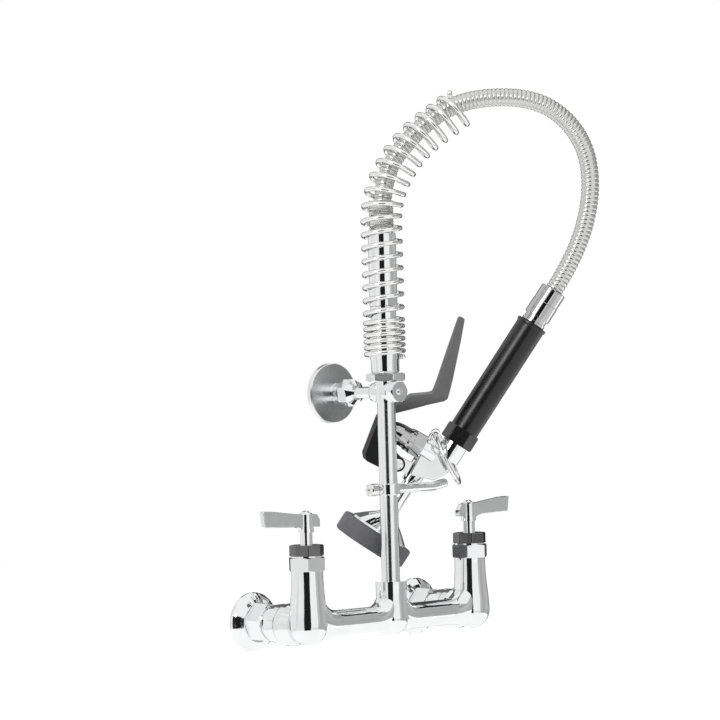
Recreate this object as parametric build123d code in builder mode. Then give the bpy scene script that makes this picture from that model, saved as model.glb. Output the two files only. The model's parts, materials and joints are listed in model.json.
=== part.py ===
from build123d import *

import os
from math import cos, pi, radians, sin, tan

os.makedirs("parts", exist_ok=True)

# Wall-mounted pre-rinse faucet, in millimetres.
# Origin: on the wall plane, midway between the two inlets and at their height.
# +X runs along the wall to the right, +Y goes into the wall, +Z is up.

# ---- Driving dimensions ----
INLET_CENTRES = 203.2          # the standard 8 in rough-in
RISER_OUT = 81.0               # wall plane to the axis of the riser and of both valves
COLUMN_TOP = 50.0              # top face of each valve column
COLUMN_R = 14.6
BALL_R = 17.6                  # rounded foot of each column
CROSSBAR_R = 12.0
BOSS_R = 14.4                  # centre boss that takes the riser
BOSS_TOP = 34.0
RISER_R = 8.57                 # 3/8 in pipe
RISER_BORE_R = 6.25
RISER_TOP = 207.0

PIPE_THREAD_R = 9.3            # wall of the 1/2 in pipe thread in each wall flange
PIPE_THREAD_LENGTH = 20.0
WALL_FLANGE_R = 27.3

TEE_Z = 210.3                  # axis of the wall bracket
TEE_R = 9.9
BRACKET_ROD_R = 5.4
BRACKET_TUBE_R = 9.7
BRACKET_FLANGE_R = 28.5
BRACKET_FLANGE_T = 6.0

WALL_STUD_R = 3.4               # hole in the bracket's flange for the wall stud
SET_SCREW_OUT = 18.0           # wall plane to the bracket's set screw
FINGER_R = 4.3                 # the hook's finger
HOOK_REACH = (1.0, 0.0)        # direction of the hook's finger, seen from above

WIRE_R = 2.25                  # overhead spring
COIL_R = 17.4                  # axis of the spring to the middle of its wire
SEAT_Z = 240.6                 # bottom of the spring
CLOSE_TURNS = 6.5
CLOSE_PITCH = 5.7
OPEN_TURNS = 19.5
OPEN_PITCH = 11.4
OPEN_GROWTH = -0.018           # the open coils close a little towards the far end
STRAIGHT_TOP = 374.0           # height at which the spring starts to lean over
SHARP_BEND = (89.3, 50.0)      # radius and angle of the spring's first bend
SLACK_BEND = (277.0, 9.0)     # and of the gentle one that follows it
SPRING_HEADING = (0.845, -0.535)  # where the spring leans, seen from above

SLEEVE_R = 13.0                # hose fitting inside the spring
SLEEVE_TOP = 359.0
GUARD_RIDGES = 10
GUARD_PITCH = 3.0
HOSE_R = 8.5
GUN_NECK = (80.3, -88.2, 159.6)          # lower end of the grip's nut
GUN_AXIS = (-0.4191, 0.3752, -0.8268)    # along the grip, towards the spray head
GUN_SQUARE = (0.5128, 0.8493, 0.1255)    # square to the spray valve's middle plane
GRIP_LENGTH = 135.0
COLLAR_NECK = 7.5              # the collar's narrow ring, between the grip and the sleeve
COLLAR_LENGTH = 38.0
COLLAR_R = 12.8
GRIP_R = 14.1

BONNET_LEAN = 2.0              # valve stem's axis from square to the grip
BONNET_BASE = (20.2, 26.7)     # along and above the grip's axis
LEVER_PIVOT = (46.0, 38.6)
LEVER_HALF_WIDTH = 8.9
SPRAY_OFFSET = 17.1            # spray tube's axis above the grip's axis
WEB_HALF = 9.0                 # half the thickness of the valve body's flat-sided web
CHAMBER_R = 7.2
SEAT_DEPTH = -9.0              # top of the valve seat, below the bonnet
STEM_R = 2.5
STEM_TIP = 48.1                # stem's end, where the lever presses on it
RETURN_TURNS = 9
RING_CENTRE = (15.7, -0.9)     # the hold-down ring hangs from an eye on the valve body
RING_NORMAL = (0.62, -0.68, 0.40)
RING_R = 26.0
RING_WIRE_R = 1.9
JET_RINGS = [(22.5, 16), (15.5, 10), (8.5, 6)]
JET_R = 1.1
BUMPER_R = 36.6

BONNET_TURNS = {"left": -5, "right": 40}   # how far each bonnet nut has been screwed home

COLUMN_X = INLET_CENTRES / 2

# Blends of the casting, as ellipses along the crossbar: x, middle height, half height, half depth
COLUMN_SADDLE = [(COLUMN_X, 13, 30, 13), (94, 8, 24, 13.4), (88, 4.6, 19.0, 13.6),
                 (80, 1.4, 14.2, 12.8), (72, 0.2, 12.2, 12.1), (64, 0, 12, 12)]
BOSS_SADDLE = [(0, 9, 23.5, 12.4), (8, 7.5, 21.5, 12.6), (15, 2.6, 15.4, 12.5),
               (22, 0.4, 12.5, 12.1), (29, 0, 12, 12)]


# ---- Planes and small building blocks ----
def upright(x=0.0, z=0.0):
    """Plane on a vertical axis: local x is the radius, local y is the height."""
    return Plane(origin=(x, -RISER_OUT, z), x_dir=(1, 0, 0), z_dir=(0, -1, 0))


def seamed_behind(x=0.0):
    """Like upright, with local x towards the wall, so that a casting's seam is at its back."""
    return Plane(origin=(x, -RISER_OUT, 0), x_dir=(0, 1, 0), z_dir=(1, 0, 0))


def wallward(x=0.0, z=0.0):
    """Plane on an axis square to the wall: local x is the radius, local y runs to the wall."""
    return Plane(origin=(x, -RISER_OUT, z), x_dir=(1, 0, 0), z_dir=(0, 0, 1))


def turn(plane, outline, mode=Mode.ADD):
    """Revolve a closed outline of (radius, height) points about the plane's own axis."""
    with BuildSketch(plane) as section:
        with BuildLine():
            Polyline(*outline, close=True)
        make_face()
    revolve(section.sketch, axis=Axis(plane.origin, plane.y_dir), mode=mode)


def rod(plane, radius, start, end, mode=Mode.ADD):
    """A round bar or bore along the plane's own axis, from start to end."""
    turn(plane, [(0, start), (radius, start), (radius, end), (0, end)], mode)


def across(plane, height):
    """The plane square to another plane's axis, at a height along it."""
    origin = plane.from_local_coords(Vector(0, height, 0))
    return Plane(origin=origin, x_dir=plane.x_dir, z_dir=plane.y_dir)


def hexagon(plane, flats, start, end, turned=0.0, sides=6, corner=0.8):
    """A nut's hexagon, its corners softened, along the plane's own axis."""
    with BuildSketch(across(plane, start)) as section:
        RegularPolygon(flats / 2, sides, major_radius=False, rotation=turned)
        fillet(section.vertices(), corner)
    extrude(section.sketch, amount=end - start)


def crown(plane, flats, start, end, bevel=1.2):
    """Cut the two ends of a nut back to the round, as a turned nut has them."""
    corner = flats / 2 / cos(pi / 6)
    rim = flats / 2
    outline = [(0, start), (rim, start), (corner + 0.2, start + bevel),
               (corner + 0.2, end - bevel), (rim, end), (0, end)]
    turn(plane, outline, Mode.INTERSECT)


def saddle(stations):
    """A smooth branch of the casting through ellipses set along the crossbar."""
    sections = []
    for x, middle, tall, deep in stations:
        with BuildSketch(Plane(origin=(x, -RISER_OUT, middle), x_dir=(0, 1, 0),
                               z_dir=(1, 0, 0))) as section:
            Ellipse(deep, tall)
        sections.append(section.sketch)
    loft(sections)


def save(piece, name):
    """Label a finished piece and write its STEP file."""
    piece.part.label = name
    export_step(piece.part, f"parts/{name}.step")


centre = upright()
crossbar = Plane(origin=centre.origin, x_dir=(0, 1, 0), z_dir=(0, 0, -1))
sides = {"left": -1, "right": 1}

# ---- Mixing body: one brass casting with two valve columns and a centre boss ----
with BuildPart() as faucet_body:
    rod(crossbar, CROSSBAR_R, -COLUMN_X, COLUMN_X)
    for side in sides.values():
        column = seamed_behind(side * COLUMN_X)
        with BuildSketch(column) as column_face:
            with BuildLine():
                foot = JernArc((0, -BALL_R), (1, 0), BALL_R, 90)
                flank = Spline(foot @ 1, (COLUMN_R + 1.2, 24), (COLUMN_R, COLUMN_TOP - 4),
                               tangents=[(0, 1), (0, 1)])
                Polyline(flank @ 1, (COLUMN_R, COLUMN_TOP), (0, COLUMN_TOP), foot @ 0)
            make_face()
        revolve(column_face.sketch, axis=Axis(column.origin, (0, 0, 1)))
    with BuildSketch(seamed_behind()) as boss_face:
        with BuildLine():
            belly = JernArc((0, -15.8), (1, 0), 15.8, 90)
            Polyline(belly @ 1, (BOSS_R, 14), (BOSS_R, BOSS_TOP), (0, BOSS_TOP), belly @ 0)
        make_face()
    revolve(boss_face.sketch, axis=Axis(centre.origin, (0, 0, 1)))
    for side in sides.values():
        saddle([(side * x, *shape) for x, *shape in COLUMN_SADDLE])
        saddle([(side * x, *shape) for x, *shape in BOSS_SADDLE])
    for side in sides.values():
        inlet = wallward(side * COLUMN_X)
        turn(inlet, [(0, 10), (17, 10), (19.4, 20), (19.4, 27), (18.6, 28), (16.2, 28.4),
                     (16.2, 29.6), (18.2, 30), (18.6, 36), (17.6, 44), (16.2, 49),
                     (13, 49), (13, 57), (0, 57)])
        rod(inlet, 8, 0, 57, Mode.SUBTRACT)
        rod(upright(side * COLUMN_X), 11.0, -6, COLUMN_TOP, Mode.SUBTRACT)
    rod(crossbar, 6.5, -COLUMN_X, COLUMN_X, Mode.SUBTRACT)
    rod(centre, 6.2, 0, 14, Mode.SUBTRACT)
    rod(centre, RISER_R, 14, BOSS_TOP, Mode.SUBTRACT)
save(faucet_body, "faucet_body")

for name, side in sides.items():
    inlet = wallward(side * COLUMN_X)
    column = upright(side * COLUMN_X)

    # ---- Inlet union: nut, washer and the flange that screws on the supply pipe ----
    with BuildPart() as coupling_nut:
        hexagon(inlet, 34, 49.2, 70, turned=10)
        crown(inlet, 34, 49.2, 70)
        rod(inlet, 13.1, 49.2, 70, Mode.SUBTRACT)
        rod(inlet, 14.6, 57, 63.5, Mode.SUBTRACT)
    save(coupling_nut, f"{name}_coupling_nut")

    with BuildPart() as coupling_washer:
        turn(inlet, [(8.5, 57), (12.8, 57), (12.8, 59), (8.5, 59)])
    save(coupling_washer, f"{name}_coupling_washer")

    with BuildPart() as wall_flange:
        turn(inlet, [(0, 59), (14.4, 59), (14.4, 63.5), (13.0, 63.5), (13.0, 70.2),
                     (18.6, 70.6), (21.5, 72.4), (24.6, 75.2), (26.6, 77.6),
                     (WALL_FLANGE_R, 79), (WALL_FLANGE_R, RISER_OUT), (0, RISER_OUT)])
        rod(inlet, 8.0, 59, RISER_OUT, Mode.SUBTRACT)
        rod(inlet, PIPE_THREAD_R, RISER_OUT - PIPE_THREAD_LENGTH, RISER_OUT, Mode.SUBTRACT)
    save(wall_flange, f"{name}_wall_flange")

    # ---- Quarter-turn valve: cartridge, the two nuts above it, stem and lever handle ----
    with BuildPart() as cartridge:
        turn(column, [(4, -5), (9.2, -5), (9.2, 0), (8.2, 0), (8.2, 8), (10.8, 8),
                      (10.8, 49), (6.4, 49), (6.4, 6), (4, 6)])
    save(cartridge, f"{name}_cartridge")

    with BuildPart() as bonnet_nut:
        hexagon(column, 31.2, COLUMN_TOP, 62.6, turned=BONNET_TURNS[name])
        crown(column, 31.2, COLUMN_TOP, 62.6)
        rod(column, 14.4, 62.6, 63.8)
        rod(column, 10.9, COLUMN_TOP, 56, Mode.SUBTRACT)
        rod(column, 6.6, COLUMN_TOP, 64, Mode.SUBTRACT)
    save(bonnet_nut, f"{name}_bonnet_nut")

    with BuildPart() as packing_nut:
        hexagon(column, 29.6, 63.8, 73.7, turned=12, sides=8, corner=1.6)
        rod(column, 5.65, 63.8, 73.7, Mode.SUBTRACT)
    fillet_edges = packing_nut.faces().sort_by(Axis.Z)[-1].outer_wire().edges()
    with packing_nut:
        chamfer(fillet_edges, 0.8)
    save(packing_nut, f"{name}_packing_nut")

    with BuildPart() as stem:
        turn(column, [(0, 7), (6.35, 7), (6.35, 20), (5.6, 21), (5.6, 86), (3.6, 87),
                      (3.6, 99.5), (0, 99.5)])
    save(stem, f"{name}_stem")

    # The blade is a side profile, thin along Y, that widens towards its squared end.
    with BuildPart() as handle:
        turn(column, [(0, 85), (7.2, 85), (7.0, 88), (6.4, 92), (6.3, 101.4), (5.2, 102.6),
                      (0, 102.6)])
        with BuildSketch(column) as blade_face:
            with BuildLine():
                Polyline((side * 4, 91), (side * 12, 90.4), (side * 24, 90.7),
                         (side * 49.6, 91.4), (side * 51.8, 106.2), (side * 40, 105.8),
                         (side * 20, 103.2), (side * 4, 101.4), close=True)
            make_face()
            fillet(blade_face.vertices().sort_by(Axis.X)[::side][-2:], 1.2)
        extrude(blade_face.sketch, amount=2.9, both=True)
        with BuildSketch(column) as heel_face:
            with BuildLine():
                Polyline((-side * 4, 90), (-side * 14.5, 89.5), (-side * 14.5, 96),
                         (-side * 11, 101.2), (-side * 4, 101.8), close=True)
            make_face()
            fillet(heel_face.vertices().sort_by(Axis.X)[::-side][-3:], 1.0)
        extrude(heel_face.sketch, amount=2.9, both=True)
        with BuildSketch(column) as neck_face:
            with BuildLine():
                Polyline((side * 5, 86.4), (side * 9, 89.4), (side * 15, 91), (side * 5, 93),
                         close=True)
            make_face()
        extrude(neck_face.sketch, amount=2.9, both=True)
        long_edges = handle.edges().filter_by(lambda edge: 15 < edge.length < 30).filter_by(
            lambda edge: edge.bounding_box().size.Y < 0.1)
        fillet(long_edges, 0.8)
        rod(column, 3.6, 80, 99.5, Mode.SUBTRACT)
        rod(column, 5.6, 80, 86, Mode.SUBTRACT)
        turn(column, [(0, 86), (5.6, 86), (3.6, 87), (0, 87)], Mode.SUBTRACT)
        rod(column, 2.0, 99, 104, Mode.SUBTRACT)
    save(handle, f"{name}_handle")

    with BuildPart() as handle_screw:
        turn(column, [(0, 99.5), (2.0, 99.5), (2.0, 102.6), (3.9, 102.6), (3.4, 103.9),
                      (1.8, 104.6), (0, 104.7)])
    save(handle_screw, f"{name}_handle_screw")

# ---- Riser, with the hook for the spray valve clamped round it ----
with BuildPart() as riser_pipe:
    turn(centre, [(RISER_BORE_R, 14), (RISER_R, 14), (RISER_R, RISER_TOP),
                  (RISER_BORE_R, RISER_TOP)])
save(riser_pipe, "riser_pipe")

# The hook's finger runs out under the spray valve and turns up at its tip.
hook = Plane(origin=(0, -RISER_OUT, 0), x_dir=Vector(*HOOK_REACH, 0).normalized(),
             z_dir=Vector(HOOK_REACH[1], -HOOK_REACH[0], 0).normalized())
hook_back = Plane(origin=(0, -RISER_OUT, 119.7), x_dir=(0, 0, 1), z_dir=hook.z_dir)
with BuildPart() as hook_clamp:
    turn(centre, [(0, 114.3), (10.4, 114.3), (11, 115), (11, 124.4), (10.4, 125), (0, 125)])
    with BuildLine(hook) as finger_line:
        FilletPolyline((4, 119.7), (56, 119.6), (70, 122.3), radius=20)
    with BuildSketch(Plane(origin=finger_line.line @ 0, z_dir=finger_line.line % 0)):
        Circle(FINGER_R)
    sweep(path=finger_line.line)
    with Locations(finger_line.line @ 1):
        Sphere(FINGER_R)
    rod(hook_back, 4.6, 6, 14)
    rod(centre, RISER_R, 110, 130, Mode.SUBTRACT)
    rod(hook_back, 2.5, 8, 15, Mode.SUBTRACT)
save(hook_clamp, "hook_clamp")

with BuildPart() as hook_screw:
    turn(hook_back, [(0, RISER_R + 0.05), (2.5, RISER_R + 0.05), (2.5, 15.4), (5.3, 15.4),
                     (5.8, 16), (5.8, 23.4), (5.0, 24.2), (0, 24.2)])
    rod(hook_back, 2.2, 22.8, 25, Mode.SUBTRACT)
save(hook_screw, "hook_screw")

# ---- Wall bracket: tee on top of the riser, rod, lock nut, tube and wall flange ----
bracket = wallward(0, TEE_Z)
with BuildPart() as bracket_tee:
    turn(bracket, [(0, -10.4), (9.3, -10.4), (TEE_R, -9.6), (TEE_R, 12), (9, 15.5), (6.6, 18.4),
                   (0, 18.4)])
    rod(centre, 10.0, TEE_Z - 10, TEE_Z + 10)
    rod(centre, RISER_R, TEE_Z - 12, RISER_TOP, Mode.SUBTRACT)
    rod(centre, 6.2, RISER_TOP, TEE_Z + 12, Mode.SUBTRACT)
    rod(bracket, BRACKET_ROD_R, 13.5, 20, Mode.SUBTRACT)
save(bracket_tee, "bracket_tee")

with BuildPart() as bracket_cap_nut:
    hexagon(bracket, 18.6, -19.4, -10.4)
    turn(bracket, [(0, -10.4), (9.4, -10.4), (10.9, -11.4), (10.9, -18), (9.3, -19.4),
                   (0, -19.4)], Mode.INTERSECT)
    turn(bracket, [(0, -19.4), (3.0, -19.4), (2.7, -21.4), (0, -21.9)])
save(bracket_cap_nut, "bracket_cap_nut")

with BuildPart() as bracket_rod:
    turn(bracket, [(0, 13.5), (BRACKET_ROD_R, 13.5), (BRACKET_ROD_R, 70), (0, 70)])
save(bracket_rod, "bracket_rod")

with BuildPart() as bracket_lock_nut:
    hexagon(bracket, 23, 41, 57.4, turned=20)
    turn(bracket, [(0, 41), (7, 41), (13.4, 46.4), (13.4, 56), (12.2, 57.4), (0, 57.4)],
         Mode.INTERSECT)
    rod(bracket, BRACKET_ROD_R, 40, 58, Mode.SUBTRACT)
save(bracket_lock_nut, "bracket_lock_nut")

flange_face = RISER_OUT - BRACKET_FLANGE_T
set_screw_axis = Plane(origin=(0, -SET_SCREW_OUT, TEE_Z), x_dir=(0, 0, 1), z_dir=(0, -1, 0))
with BuildPart() as bracket_tube:
    turn(bracket, [(0, 57.4), (9.0, 57.4), (BRACKET_TUBE_R, 58.2), (BRACKET_TUBE_R, 67.2),
                   (9.2, 67.8), (9.2, 68.2), (BRACKET_TUBE_R, 68.8),
                   (BRACKET_TUBE_R, flange_face), (0, flange_face)])
    rod(bracket, BRACKET_ROD_R, 50, 70, Mode.SUBTRACT)
    rod(set_screw_axis, 2.5, BRACKET_TUBE_R - 4.3, BRACKET_TUBE_R + 1, Mode.SUBTRACT)
save(bracket_tube, "bracket_tube")

with BuildPart() as bracket_flange:
    turn(bracket, [(0, flange_face), (BRACKET_FLANGE_R - 0.8, flange_face),
                   (BRACKET_FLANGE_R, flange_face + 0.8), (BRACKET_FLANGE_R, RISER_OUT - 0.6),
                   (BRACKET_FLANGE_R - 0.6, RISER_OUT), (0, RISER_OUT)])
    rod(bracket, WALL_STUD_R, RISER_OUT - 12, RISER_OUT, Mode.SUBTRACT)
save(bracket_flange, "bracket_flange")

with BuildPart() as bracket_set_screw:
    rod(set_screw_axis, 2.5, BRACKET_ROD_R, BRACKET_TUBE_R + 0.3)
    rod(set_screw_axis, 1.3, BRACKET_TUBE_R - 1, BRACKET_TUBE_R + 1, Mode.SUBTRACT)
save(bracket_set_screw, "bracket_set_screw")

# ---- Spring seat and the hose's lower fitting, inside the spring ----
with BuildPart() as riser_lock_nut:
    hexagon(centre, 32.4, TEE_Z + 10, 228, turned=12, corner=2.0)
    crown(centre, 32.4, TEE_Z + 10, 228, bevel=1.6)
    rod(centre, 6.2, 215, 230, Mode.SUBTRACT)
save(riser_lock_nut, "riser_lock_nut")

with BuildPart() as spring_seat:
    turn(centre, [(6.2, 228), (12.0, 228), (13.2, 229.6), (13.2, SEAT_Z),
                  (14.1, SEAT_Z), (14.1, 262), (11.6, 264), (6.2, 264)])
save(spring_seat, "spring_seat")

with BuildPart() as hose_sleeve:
    turn(centre, [(6.2, 264), (11.4, 264), (11.4, 286), (12.4, 287), (12.4, 290),
                  (SLEEVE_R, 290.6), (SLEEVE_R, SLEEVE_TOP - 1), (SLEEVE_R - 0.8, SLEEVE_TOP),
                  (6.2, SLEEVE_TOP)])
    with BuildSketch(across(centre, 290.6)) as flats:
        Rectangle(40, 40)
        Rectangle(40, 23.8, mode=Mode.SUBTRACT)
    extrude(flats.sketch, amount=7, mode=Mode.SUBTRACT)
save(hose_sleeve, "hose_sleeve")

# The ferrule is a short close-wound guard: ridged outside, clear of the hose inside.
with BuildPart() as guard_coil:
    ridges = [(0.0, 10.9), (1.5, 11.7)]
    outline = [(HOSE_R + 0.9, SLEEVE_TOP)]
    for ridge in range(GUARD_RIDGES):
        outline += [(radius, SLEEVE_TOP + ridge * GUARD_PITCH + rise) for rise, radius in ridges]
    outline += [(10.9, SLEEVE_TOP + GUARD_RIDGES * GUARD_PITCH),
                (HOSE_R + 0.9, SLEEVE_TOP + GUARD_RIDGES * GUARD_PITCH)]
    turn(centre, outline)
save(guard_coil, "guard_coil")


# ---- Overhead spring ----
spring_arch = Plane(origin=centre.origin, x_dir=Vector(*SPRING_HEADING, 0).normalized(),
                    z_dir=Vector(SPRING_HEADING[1], -SPRING_HEADING[0], 0).normalized())


def spring_axis(length):
    """Point and lean of the spring's axis in its own arch, a length up from its seat."""
    straight = STRAIGHT_TOP - SEAT_Z
    if length <= straight:
        return (0.0, SEAT_Z + length), 0.0
    run, z, lean, left = 0.0, STRAIGHT_TOP, 0.0, length - straight
    for radius, angle in (SHARP_BEND, SLACK_BEND):
        swing = min(left / radius, radians(angle))
        run += radius * (cos(lean) - cos(lean + swing))
        z += radius * (sin(lean + swing) - sin(lean))
        lean += swing
        left -= swing * radius
    return (run, z), lean


def spring_wire(turns):
    """Section plane of the wire after a number of turns from the bottom end."""
    close = min(turns, CLOSE_TURNS) * CLOSE_PITCH
    opened = max(turns - CLOSE_TURNS, 0)
    spot, lean = spring_axis(WIRE_R + close + opened * OPEN_PITCH
                             + opened * opened * OPEN_GROWTH)
    angle = 2 * pi * turns
    axis = spring_arch.x_dir * sin(lean) + spring_arch.y_dir * cos(lean)
    level = -spring_arch.z_dir
    outward = level * cos(angle) + axis.cross(level) * sin(angle)
    along = axis.cross(outward)
    origin = spring_arch.from_local_coords(Vector(*spot, 0)) + outward * COIL_R
    rise = (CLOSE_PITCH if turns < CLOSE_TURNS else OPEN_PITCH) / (2 * pi * COIL_R)
    return Plane(origin=origin, x_dir=outward, z_dir=along + axis * rise)


STATIONS_PER_TURN = 12
with BuildPart() as overhead_spring:
    wire_sections = []
    for step in range(int((CLOSE_TURNS + OPEN_TURNS) * STATIONS_PER_TURN) + 1):
        with BuildSketch(spring_wire(step / STATIONS_PER_TURN)) as wire_section:
            RegularPolygon(WIRE_R, 6)
        wire_sections.append(wire_section.sketch)
    loft(wire_sections, ruled=True)
save(overhead_spring, "overhead_spring")

# ---- Spray valve, built in its own plane: local x along the grip, local y towards the lever ----
gun = Plane(origin=GUN_NECK, x_dir=GUN_AXIS, z_dir=GUN_SQUARE)
gun_plan = Plane(origin=gun.origin, x_dir=gun.x_dir, z_dir=gun.y_dir)
grip_axis = Plane(origin=gun.origin, x_dir=gun.y_dir, z_dir=-gun.z_dir)
spray_axis = Plane(origin=gun.from_local_coords(Vector(0, SPRAY_OFFSET, 0)),
                   x_dir=gun.y_dir, z_dir=-gun.z_dir)
outlet_axis = Plane(origin=gun.from_local_coords(Vector(0, 21.4, 0)), x_dir=gun.y_dir,
                    z_dir=-gun.z_dir)
stem_lean = radians(BONNET_LEAN)
stem_axis = Plane(origin=gun.from_local_coords(Vector(*BONNET_BASE, 0)),
                  x_dir=gun.x_dir * cos(stem_lean) - gun.y_dir * sin(stem_lean),
                  z_dir=gun.z_dir)
ring_plane = Plane(origin=gun.from_local_coords(Vector(*RING_CENTRE, 0)),
                   x_dir=Vector(*RING_NORMAL).cross(gun.z_dir), z_dir=Vector(*RING_NORMAL))
ring_lug = Plane(origin=ring_plane.from_local_coords(Vector(RING_R, 0, 0)),
                 x_dir=ring_plane.x_dir, z_dir=ring_plane.z_dir)
pivot_axis = Plane(origin=gun.from_local_coords(Vector(*LEVER_PIVOT, 0)), x_dir=gun.x_dir,
                   z_dir=gun.y_dir)


def slab(plane, outline, half, mode=Mode.ADD, rounds=()):
    """A flat piece of a closed outline, half its thickness on each side of the plane."""
    with BuildSketch(plane) as face:
        with BuildLine():
            Polyline(*outline, close=True)
        make_face()
        for corner, radius in rounds:
            fillet(face.vertices().sort_by_distance((*corner, 0))[0], radius)
    extrude(face.sketch, amount=half, both=True, mode=mode)


# ---- Hose: straight runs joined by arcs as large as the runs allow ----
collar_top = GRIP_LENGTH + COLLAR_LENGTH
hose_end = grip_axis.from_local_coords(Vector(0, -collar_top, 0))
last_bend = grip_axis.from_local_coords(Vector(0, -collar_top - 38, 0))
HOSE_ROUTE = [(0, -RISER_OUT, SLEEVE_TOP), (0, -RISER_OUT, 409), (26.1, -98.5, 450.8),
              (60.1, -117.5, 476.6), (110.9, -145.9, 475.2), (144.1, -164.2, 452.6),
              (164.5, -174.1, 414.5), (169.2, -172.9, 376.2), tuple(last_bend),
              tuple(hose_end)]


def bend_radii(route):
    """The largest arc at each corner that the two runs beside it leave room for."""
    radii = []
    for before, corner, after in zip(route, route[1:], route[2:]):
        first, second = Vector(*corner) - Vector(*before), Vector(*after) - Vector(*corner)
        shorter = min(first.length, second.length)
        radii.append(0.45 * shorter / tan(radians(first.get_angle(second)) / 2))
    return radii


hose_radii = bend_radii(HOSE_ROUTE)
print("hose bend radii, mm:", [round(radius, 1) for radius in hose_radii])
with BuildPart() as hose:
    with BuildLine() as hose_line:
        FilletPolyline(*HOSE_ROUTE, radius=hose_radii)
    with BuildSketch(Plane(origin=HOSE_ROUTE[0], z_dir=(0, 0, 1))):
        Circle(HOSE_R)
    sweep(path=hose_line.line)
hose_length = sum(edge.length for edge in hose_line.edges())
print("hose length, mm:", round(hose_length, 1), "volume ratio:",
      round(hose.part.volume / (pi * HOSE_R ** 2 * hose_length), 4))
save(hose, "hose")

with BuildPart() as hose_collar:
    collar_foot = -GRIP_LENGTH - COLLAR_NECK
    turn(grip_axis, [(0, -GRIP_LENGTH), (11.4, -GRIP_LENGTH), (11.8, -GRIP_LENGTH - 0.8),
                     (11.8, -GRIP_LENGTH - 3.0), (11.0, -GRIP_LENGTH - 3.4),
                     (11.0, collar_foot), (COLLAR_R - 0.4, collar_foot),
                     (COLLAR_R, collar_foot - 0.5), (COLLAR_R, collar_foot - 15),
                     (COLLAR_R - 0.3, collar_foot - 15.4), (COLLAR_R - 0.3, -collar_top + 0.8),
                     (COLLAR_R - 1.1, -collar_top), (0, -collar_top)])
    rod(grip_axis, 4.2, -collar_top, -GRIP_LENGTH, Mode.SUBTRACT)
save(hose_collar, "hose_collar")

# ---- Grip: inner tube, moulded sleeve and the nut that holds the valve ----
with BuildPart() as grip_tube:
    turn(grip_axis, [(4.2, -GRIP_LENGTH), (9.5, -GRIP_LENGTH), (9.5, -GRIP_LENGTH + 6),
                     (7.0, -GRIP_LENGTH + 8), (7.0, -12), (4.2, -12)])
save(grip_tube, "grip_tube")

with BuildPart() as grip_sleeve:
    turn(grip_axis, [(9.5, -GRIP_LENGTH), (14.6, -GRIP_LENGTH), (15.1, -GRIP_LENGTH + 0.6),
                     (15.1, -GRIP_LENGTH + 2.4), (GRIP_R + 0.1, -GRIP_LENGTH + 3.8),
                     (GRIP_R, -GRIP_LENGTH + 60), (GRIP_R - 0.1, -15.5), (7.0, -15.5),
                     (7.0, -GRIP_LENGTH + 8), (9.5, -GRIP_LENGTH + 6)])
save(grip_sleeve, "grip_sleeve")

with BuildPart() as grip_nut:
    hexagon(grip_axis, 28.6, -15.5, 0, turned=18, corner=1.5)
    turn(grip_axis, [(0, -15.5), (15.2, -15.5), (16.5, -14), (16.5, -1.2), (15.4, 0), (0, 0)],
         Mode.INTERSECT)
    rod(grip_axis, 7.0, -17, -12, Mode.SUBTRACT)
    rod(grip_axis, 9.0, -12, 1, Mode.SUBTRACT)
save(grip_nut, "grip_nut")

# ---- Valve body: inlet neck, flat-sided web, seat chamber, spray socket and lever lug ----
with BuildPart() as valve_body:
    slab(gun, [(12.6, 26.6), (48.9, 23.8), (41.1, 1.2), (26.5, -8.8), (5.4, 19.0)], WEB_HALF,
         rounds=[((12.6, 26.6), 2), ((48.9, 23.8), 2.5), ((41.1, 1.2), 5), ((26.5, -8.8), 3),
                 ((5.4, 19.0), 3)])
    fillet(valve_body.edges().filter_by(
        lambda edge: abs(gun.to_local_coords(edge.center()).Z) > 5), 1.2)
    rod(grip_axis, 12.4, 0, 17)
    rod(grip_axis, 9.0, -12, 0)
    rod(stem_axis, 11.6, -14, 0)
    rod(spray_axis, 8.8, 34, 55)
    rod(stem_axis, 13.4, 0, 40, Mode.SUBTRACT)
    slab(gun, [(37, 21), (48, 21), (52.2, 38), (49, 43), (42.5, 43), (38.5, 36)], 4.0)
    rod(pivot_axis, 6.4, -4.0, 4.0)
    slab(gun, [(3.5, 13), (14, 15), (12.5, 25.5), (6.5, 25.8), (2, 25)], 2.2)
    rod(ring_lug, 4.6, -1.9, 1.9)
    rod(grip_axis, 4.2, -12, 19, Mode.SUBTRACT)
    rod(stem_axis, CHAMBER_R, -24.5, SEAT_DEPTH - 3, Mode.SUBTRACT)
    rod(stem_axis, 4.2, SEAT_DEPTH - 3, SEAT_DEPTH, Mode.SUBTRACT)
    rod(stem_axis, CHAMBER_R, SEAT_DEPTH, 0, Mode.SUBTRACT)
    rod(outlet_axis, 2.6, 22, 36, Mode.SUBTRACT)
    rod(spray_axis, 4.2, 29, 46, Mode.SUBTRACT)
    rod(spray_axis, 6.5, 46, 60, Mode.SUBTRACT)
    rod(pivot_axis, 3.05, -5, 5, Mode.SUBTRACT)
    rod(ring_lug, RING_WIRE_R + 0.6, -6, 6, Mode.SUBTRACT)
save(valve_body, "valve_body")

with BuildPart() as valve_bonnet:
    hexagon(stem_axis, 22.8, 0, 11, turned=30, corner=1.0)
    turn(stem_axis, [(0, 0), (12, 0), (13.1, 1), (13.1, 9.6), (11.6, 11), (0, 11)],
         Mode.INTERSECT)
    turn(stem_axis, [(0, 11), (11.3, 11), (11.2, 14.5), (10.2, 16.5), (10.2, 24), (9.2, 31),
                     (7.6, 35), (5.6, 37.2), (0, 37.2)])
    rod(stem_axis, STEM_R + 0.05, -1, 38, Mode.SUBTRACT)
    rod(stem_axis, 7.0, 6, 32, Mode.SUBTRACT)
save(valve_bonnet, "valve_bonnet")

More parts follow.
